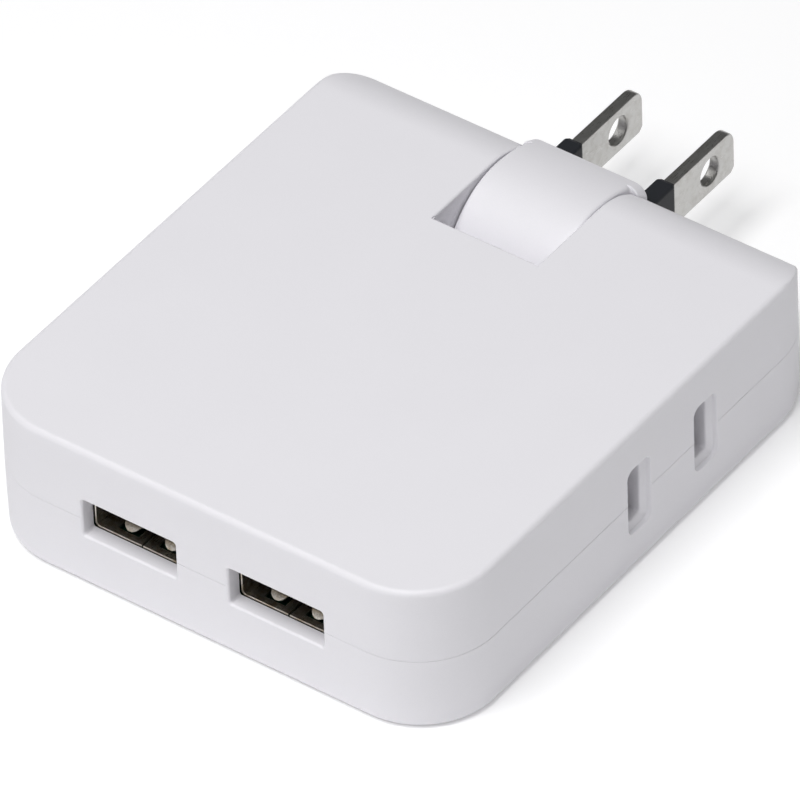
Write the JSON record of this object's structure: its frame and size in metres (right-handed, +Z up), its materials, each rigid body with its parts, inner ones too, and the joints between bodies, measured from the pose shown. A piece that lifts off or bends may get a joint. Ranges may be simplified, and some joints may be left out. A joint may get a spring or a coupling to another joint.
{
  "type": "usb wall charger",
  "caption": "Flat slab wall charger with USB-A ports in the near edge, a mains outlet in each side and a two-blade plug that swings flush into the rounded far end.",
  "frame": {"origin": "under the middle of the whole part's box, plug included, on the plane that the flat underside lies on", "axes": "+Y from the USB edge towards the plug's blades, +Z up through the flat top, +X to the right seen from the USB edge; the plug is straight out at rest"},
  "size_m": [0.0644, 0.0918, 0.02],
  "materials": {
    "white_plastic": "fine matte grain",
    "black_plastic": "satin",
    "nickel_plate": "bright nickel plate",
    "brass": "bright",
    "steel": "tin plated",
    "circuit_board": "solder mask",
    "ferrite": "dull grey",
    "winding_tape": "polyester tape",
    "capacitor_can": "shrink sleeve",
    "blue_coating": "dipped",
    "ceramic": "glazed",
    "chip_resin": "moulded"
  },
  "bodies": {
    "case": {"bottom_case": "white_plastic", "bridge_rectifier": "chip_resin", "case_screw_front_left": "steel", "case_screw_front_right": "steel", "case_screw_rear_left": "steel", "case_screw_rear_right": "steel", "controller_chip": "chip_resin", "detent_spring": "steel", "fuse": "ceramic", "input_capacitor_1": "capacitor_can", "input_capacitor_2": "capacitor_can", "live_bus_bar": "brass", "main_board": "circuit_board", "neutral_bus_bar": "brass", "output_capacitor_1": "capacitor_can", "output_capacitor_2": "capacitor_can", "output_diode": "chip_resin", "safety_capacitor": "blue_coating", "top_case": "white_plastic", "transformer_core": "ferrite", "transformer_winding": "winding_tape", "usb_contact_left_1": "brass", "usb_contact_left_2": "brass", "usb_contact_left_3": "brass", "usb_contact_left_4": "brass", "usb_contact_right_1": "brass", "usb_contact_right_2": "brass", "usb_contact_right_3": "brass", "usb_contact_right_4": "brass", "usb_shell_left": "steel", "usb_shell_right": "steel", "usb_tongue_left": "black_plastic", "usb_tongue_right": "black_plastic"},
    "plug": {"blade_sleeve_left": "black_plastic", "blade_sleeve_right": "black_plastic", "contact_pin_left": "brass", "contact_pin_right": "brass", "plug_blade_left": "nickel_plate", "plug_blade_right": "nickel_plate", "plug_head": "white_plastic"}
  },
  "joints": [
    {"name": "plug_swing", "type": "hinge", "parent": "case", "child": "plug", "pos_m": [0, 0.01915, 0.01], "axis": [1, 0, 0], "range_deg": [-90, 0]}
  ]
}
